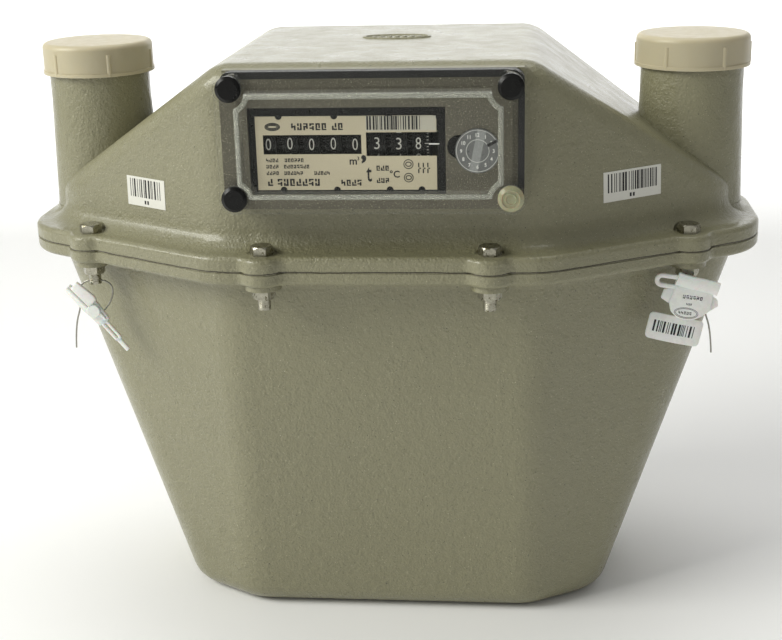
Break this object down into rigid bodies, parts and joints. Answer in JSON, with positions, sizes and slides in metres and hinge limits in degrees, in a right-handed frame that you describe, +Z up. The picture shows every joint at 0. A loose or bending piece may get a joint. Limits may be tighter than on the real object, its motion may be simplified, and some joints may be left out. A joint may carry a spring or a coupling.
{
  "type": "two-pipe diaphragm gas meter",
  "caption": "Diaphragm gas meter: cast two-part casing with flange and upright threaded pipes, capped, and a windowed number-drum index on the front.",
  "frame": {"origin": "centre of the flat underside of the lower casing", "axes": "+X from the inlet pipe to the outlet pipe, +Y from the index to the back, +Z up along the pipes"},
  "size_m": [0.306, 0.1762, 0.2391],
  "materials": {
    "casing_paint": "semi-gloss grey-green paint on cast aluminium",
    "zinc": "zinc plated steel",
    "black_rubber": "black sealing rubber",
    "milky_plastic": "milky off-white polyethylene",
    "silver_housing": "fine silver-grey metallic paint",
    "clear_plastic": "clear moulded plastic",
    "black_plastic": "black plastic",
    "seal_amber": "translucent yellowish plastic",
    "dial_cream": "printed cream plate",
    "drum_black": "black plastic with white figures",
    "pinion_white": "natural acetal",
    "steel": "ground steel",
    "brass_bush": "turned brass",
    "disc_silver": "clear and silvery printed disc",
    "unit_plastic": "moulded engineering plastic",
    "unit_cover": "moulded engineering plastic",
    "diaphragm_skin": "coated fabric diaphragm",
    "pan_metal": "pressed aluminium",
    "valve_dark": "phenolic valve slide",
    "seal_white": "white glossy plastic",
    "seal_wire_steel": "twisted sealing wire"
  },
  "bodies": {
    "casing": {"lower_casing": "casing_paint", "upper_casing": "casing_paint", "casing_gasket": "black_rubber", "flange_bolts": "zinc", "flange_nuts": "zinc", "index_gasket": "black_rubber", "index_housing": "silver_housing", "date_disc": "disc_silver", "index_cover": "clear_plastic", "index_screws": "zinc", "screw_plugs": "black_plastic", "seal_plug": "seal_amber", "dial_plate": "dial_cream", "index_frame": "black_plastic", "drum_shaft": "steel", "pinion_shaft": "steel", "drive_bush": "brass_bush", "crank_bracket": "steel", "measuring_body": "unit_plastic", "valve_plate": "unit_plastic", "unit_screws": "zinc", "outlet_duct": "unit_plastic", "duct_seal": "black_rubber", "front_cover": "unit_cover", "back_cover": "unit_cover", "front_diaphragm": "diaphragm_skin", "back_diaphragm": "diaphragm_skin"},
    "inlet_cap": {"inlet_cap": "milky_plastic"},
    "outlet_cap": {"outlet_cap": "milky_plastic"},
    "crankshaft": {"crankshaft": "steel"},
    "drive_shaft": {"drive_shaft": "steel"},
    "number_drum_1": {"number_drum_1": "drum_black"},
    "number_drum_2": {"number_drum_2": "drum_black"},
    "number_drum_3": {"number_drum_3": "drum_black"},
    "number_drum_4": {"number_drum_4": "drum_black"},
    "number_drum_5": {"number_drum_5": "drum_black"},
    "number_drum_6": {"number_drum_6": "drum_black"},
    "number_drum_7": {"number_drum_7": "drum_black"},
    "number_drum_8": {"number_drum_8": "drum_black"},
    "transfer_pinion_1": {"transfer_pinion_1": "pinion_white"},
    "transfer_pinion_2": {"transfer_pinion_2": "pinion_white"},
    "transfer_pinion_3": {"transfer_pinion_3": "pinion_white"},
    "transfer_pinion_4": {"transfer_pinion_4": "pinion_white"},
    "transfer_pinion_5": {"transfer_pinion_5": "pinion_white"},
    "transfer_pinion_6": {"transfer_pinion_6": "pinion_white"},
    "transfer_pinion_7": {"transfer_pinion_7": "pinion_white"},
    "front_pan": {"front_pan": "pan_metal"},
    "front_flag": {"front_flag_rod": "steel", "front_lever": "steel", "front_link": "steel"},
    "front_valve": {"front_valve": "valve_dark"},
    "back_pan": {"back_pan": "pan_metal"},
    "back_flag": {"back_flag_rod": "steel", "back_lever": "steel", "back_link": "steel"},
    "back_valve": {"back_valve": "valve_dark"},
    "left_seal": {"left_seal": "seal_white", "left_seal_wire": "seal_wire_steel"},
    "right_seal": {"right_seal": "seal_white", "right_seal_wire": "seal_wire_steel"}
  },
  "joints": [
    {"name": "inlet_cap_pull", "type": "slide", "parent": "casing", "child": "inlet_cap", "axis": [0, 0, 1], "range_m": [0, 0.05]},
    {"name": "outlet_cap_pull", "type": "slide", "parent": "casing", "child": "outlet_cap", "axis": [0, 0, 1], "range_m": [0, 0.05]},
    {"name": "crank_turn", "type": "hinge", "parent": "casing", "child": "crankshaft", "pos_m": [0.017, 0, 0.17], "axis": [0, 0, 1], "continuous": true},
    {"name": "drive_turn", "type": "hinge", "parent": "casing", "child": "drive_shaft", "pos_m": [0.0293, 0, 0.2173], "axis": [0, 1, 0], "continuous": true},
    {"name": "drum_1_spin", "type": "hinge", "parent": "casing", "child": "number_drum_1", "pos_m": [-0.0391, -0.0663, 0.2085], "axis": [1, 0, 0], "continuous": true},
    {"name": "drum_2_spin", "type": "hinge", "parent": "casing", "child": "number_drum_2", "pos_m": [-0.03091, -0.0663, 0.2085], "axis": [1, 0, 0], "continuous": true},
    {"name": "drum_3_spin", "type": "hinge", "parent": "casing", "child": "number_drum_3", "pos_m": [-0.02272, -0.0663, 0.2085], "axis": [1, 0, 0], "continuous": true},
    {"name": "drum_4_spin", "type": "hinge", "parent": "casing", "child": "number_drum_4", "pos_m": [-0.01453, -0.0663, 0.2085], "axis": [1, 0, 0], "continuous": true},
    {"name": "drum_5_spin", "type": "hinge", "parent": "casing", "child": "number_drum_5", "pos_m": [-0.00634, -0.0663, 0.2085], "axis": [1, 0, 0], "continuous": true},
    {"name": "drum_6_spin", "type": "hinge", "parent": "casing", "child": "number_drum_6", "pos_m": [0.00185, -0.0663, 0.2085], "axis": [1, 0, 0], "continuous": true},
    {"name": "drum_7_spin", "type": "hinge", "parent": "casing", "child": "number_drum_7", "pos_m": [0.01004, -0.0663, 0.2085], "axis": [1, 0, 0], "continuous": true},
    {"name": "drum_8_spin", "type": "hinge", "parent": "casing", "child": "number_drum_8", "pos_m": [0.01823, -0.0663, 0.2085], "axis": [1, 0, 0], "continuous": true},
    {"name": "pinion_1_spin", "type": "hinge", "parent": "casing", "child": "transfer_pinion_1", "pos_m": [-0.03515, -0.0663, 0.19735], "axis": [1, 0, 0], "continuous": true},
    {"name": "pinion_2_spin", "type": "hinge", "parent": "casing", "child": "transfer_pinion_2", "pos_m": [-0.02696, -0.0663, 0.19735], "axis": [1, 0, 0], "continuous": true},
    {"name": "pinion_3_spin", "type": "hinge", "parent": "casing", "child": "transfer_pinion_3", "pos_m": [-0.01877, -0.0663, 0.19735], "axis": [1, 0, 0], "continuous": true},
    {"name": "pinion_4_spin", "type": "hinge", "parent": "casing", "child": "transfer_pinion_4", "pos_m": [-0.01058, -0.0663, 0.19735], "axis": [1, 0, 0], "continuous": true},
    {"name": "pinion_5_spin", "type": "hinge", "parent": "casing", "child": "transfer_pinion_5", "pos_m": [-0.00239, -0.0663, 0.19735], "axis": [1, 0, 0], "continuous": true},
    {"name": "pinion_6_spin", "type": "hinge", "parent": "casing", "child": "transfer_pinion_6", "pos_m": [0.0058, -0.0663, 0.19735], "axis": [1, 0, 0], "continuous": true},
    {"name": "pinion_7_spin", "type": "hinge", "parent": "casing", "child": "transfer_pinion_7", "pos_m": [0.01399, -0.0663, 0.19735], "axis": [1, 0, 0], "continuous": true},
    {"name": "front_pan_slide", "type": "slide", "parent": "casing", "child": "front_pan", "axis": [0, 1, 0], "range_m": [-0.008, 0.008]},
    {"name": "front_flag_turn", "type": "hinge", "parent": "casing", "child": "front_flag", "pos_m": [0.04, -0.015, 0.12], "axis": [0, 0, 1], "range_deg": [-9.6, 9.6]},
    {"name": "front_valve_slide", "type": "slide", "parent": "casing", "child": "front_valve", "axis": [1, 0, 0], "range_m": [-0.005, 0.005]},
    {"name": "back_pan_slide", "type": "slide", "parent": "casing", "child": "back_pan", "axis": [0, 1, 0], "range_m": [-0.008, 0.008]},
    {"name": "back_flag_turn", "type": "hinge", "parent": "casing", "child": "back_flag", "pos_m": [0.04, 0.015, 0.12], "axis": [0, 0, 1], "range_deg": [-9.6, 9.6]},
    {"name": "back_valve_slide", "type": "slide", "parent": "casing", "child": "back_valve", "axis": [1, 0, 0], "range_m": [-0.005, 0.005]},
    {"name": "left_seal_swing", "type": "hinge", "parent": "casing", "child": "left_seal", "pos_m": [-0.1215, -0.0431, 0.1454], "axis": [1, 0, 0], "range_deg": [-25, 10]},
    {"name": "right_seal_swing", "type": "hinge", "parent": "casing", "child": "right_seal", "pos_m": [0.1215, -0.0431, 0.1454], "axis": [1, 0, 0], "range_deg": [-2, 8]}
  ],
  "couplings": [
    {"joint": "drive_turn", "follows": "crank_turn", "ratio": 0.4},
    {"joint": "drum_1_spin", "follows": "crank_turn", "ratio": -0.00000002},
    {"joint": "drum_2_spin", "follows": "crank_turn", "ratio": -0.0000002},
    {"joint": "drum_3_spin", "follows": "crank_turn", "ratio": -0.000002},
    {"joint": "drum_4_spin", "follows": "crank_turn", "ratio": -0.00002},
    {"joint": "drum_5_spin", "follows": "crank_turn", "ratio": -0.0002},
    {"joint": "drum_6_spin", "follows": "crank_turn", "ratio": -0.002},
    {"joint": "drum_7_spin", "follows": "crank_turn", "ratio": -0.02},
    {"joint": "drum_8_spin", "follows": "crank_turn", "ratio": -0.2},
    {"joint": "pinion_1_spin", "follows": "crank_turn", "ratio": 0.00000005},
    {"joint": "pinion_2_spin", "follows": "crank_turn", "ratio": 0.0000005},
    {"joint": "pinion_3_spin", "follows": "crank_turn", "ratio": 0.000005},
    {"joint": "pinion_4_spin", "follows": "crank_turn", "ratio": 0.00005},
    {"joint": "pinion_5_spin", "follows": "crank_turn", "ratio": 0.0005},
    {"joint": "pinion_6_spin", "follows": "crank_turn", "ratio": 0.005},
    {"joint": "pinion_7_spin", "follows": "crank_turn", "ratio": 0.05},
    {"joint": "front_flag_turn", "follows": "front_pan_slide", "rad_per_m": -20.833},
    {"joint": "back_flag_turn", "follows": "back_pan_slide", "rad_per_m": -20.833}
  ]
}
